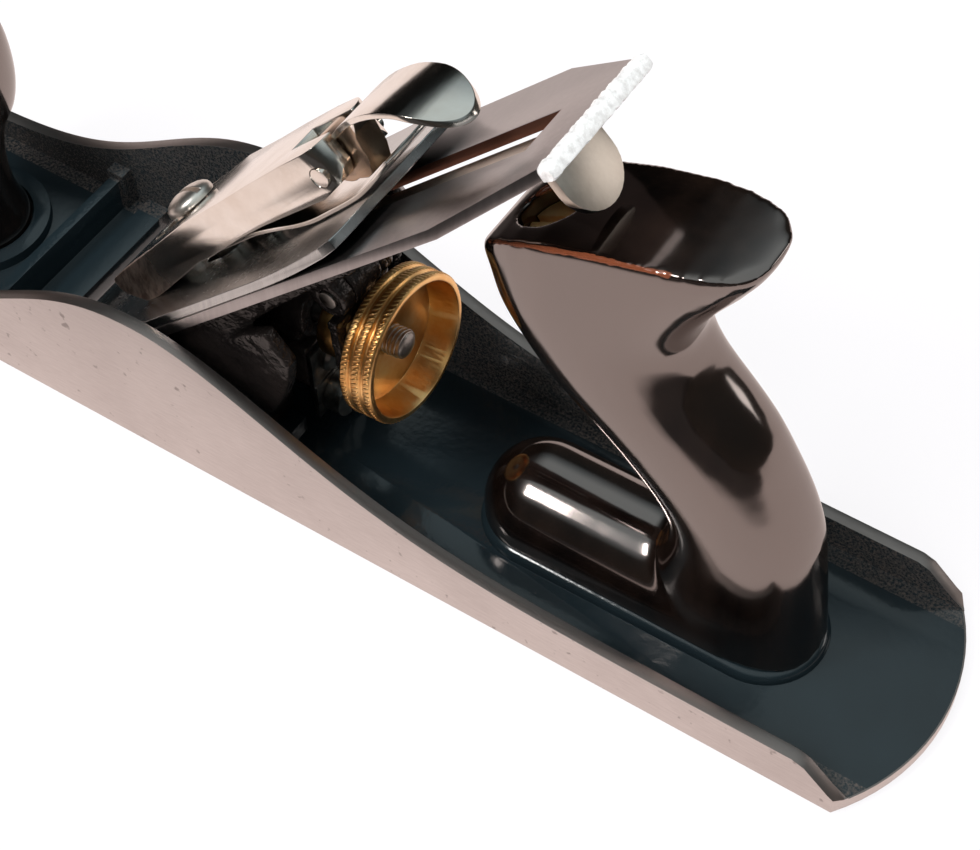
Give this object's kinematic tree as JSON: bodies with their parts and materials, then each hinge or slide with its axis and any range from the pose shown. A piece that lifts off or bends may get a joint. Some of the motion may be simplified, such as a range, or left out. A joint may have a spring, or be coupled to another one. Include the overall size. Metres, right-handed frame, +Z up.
{
  "type": "bench plane",
  "caption": "Metal-bodied bench plane with adjustable frog, cutting iron and cap iron, cammed lever cap, brass depth nut, lateral lever, rear grip and front knob.",
  "frame": {"origin": "centre of the sole's outline, on the sole plane that rests on the work", "axes": "+X towards the toe, +Y to the left cheek, +Z up from the sole"},
  "size_m": [0.292, 0.054, 0.1233],
  "materials": {
    "body_iron": "gloss black japanning inside, bare ground cheeks and sole",
    "frog_iron": "gloss black japanning",
    "blade_steel": "ground, lengthwise scratches",
    "lever_steel": "plain bent strip",
    "nickel": "worn nickel plate",
    "screw_steel": "plain dark steel",
    "brass": "turned brass",
    "handle_wood": "near-black gloss lacquer over hardwood"
  },
  "bodies": {
    "base": {"body_casting": "body_iron", "frog_screws": "screw_steel", "frog_washers": "screw_steel", "tote": "handle_wood", "tote_rod": "screw_steel", "tote_nut": "brass", "knob": "handle_wood", "knob_rod": "screw_steel", "knob_nut": "brass"},
    "frog_unit": {"frog": "frog_iron", "frog_clip": "screw_steel", "clip_screw": "screw_steel", "yoke_pin": "screw_steel", "depth_stud": "screw_steel", "lateral_rivet": "lever_steel", "lever_cap": "nickel", "cam_pin": "nickel", "cap_spring": "nickel", "spring_rivet": "nickel", "lever_cap_screw": "nickel"},
    "adjusting_screw": {"frog_adjusting_screw": "screw_steel"},
    "nut": {"depth_nut": "brass"},
    "yoke_arm": {"yoke": "frog_iron"},
    "lateral": {"lateral_lever": "lever_steel", "lateral_roller": "lever_steel"},
    "iron_set": {"iron": "blade_steel", "cap_iron": "blade_steel", "cap_iron_screw": "screw_steel"},
    "cam": {"cam_lever": "nickel"}
  },
  "joints": [
    {"name": "frog_slide", "type": "slide", "parent": "base", "child": "frog_unit", "axis": [1, 0, 0], "range_m": [0, 0.0016]},
    {"name": "frog_screw_turn", "type": "hinge", "parent": "frog_unit", "child": "adjusting_screw", "pos_m": [0, 0, 0.01], "axis": [1, 0, 0], "range_deg": [0, 720]},
    {"name": "depth_turn", "type": "hinge", "parent": "frog_unit", "child": "nut", "pos_m": [-0.0275, 0, 0.03675], "axis": [0.9968, 0, -0.0802], "range_deg": [-180, 180]},
    {"name": "yoke_tilt", "type": "hinge", "parent": "frog_unit", "child": "yoke_arm", "pos_m": [-0.013, 0, 0.0505], "axis": [0, 1, 0], "range_deg": [-2.05, 2.05]},
    {"name": "iron_feed", "type": "slide", "parent": "frog_unit", "child": "iron_set", "axis": [0.7071, 0, -0.7071], "range_m": [-0.0005, 0.0005]},
    {"name": "lateral_swing", "type": "hinge", "parent": "frog_unit", "child": "lateral", "pos_m": [-0.01607, 0, 0.07177], "axis": [0.7071, 0, 0.7071], "range_deg": [-3, 3]},
    {"name": "cam_swing", "type": "hinge", "parent": "frog_unit", "child": "cam", "pos_m": [-0.01536, 0, 0.08591], "axis": [0, 1, 0], "range_deg": [0, 86]}
  ],
  "couplings": [
    {"joint": "frog_screw_turn", "follows": "frog_slide", "rad_per_m": 7850},
    {"joint": "depth_turn", "follows": "iron_feed", "rad_per_m": 6280},
    {"joint": "yoke_tilt", "follows": "iron_feed", "rad_per_m": 71.4}
  ]
}
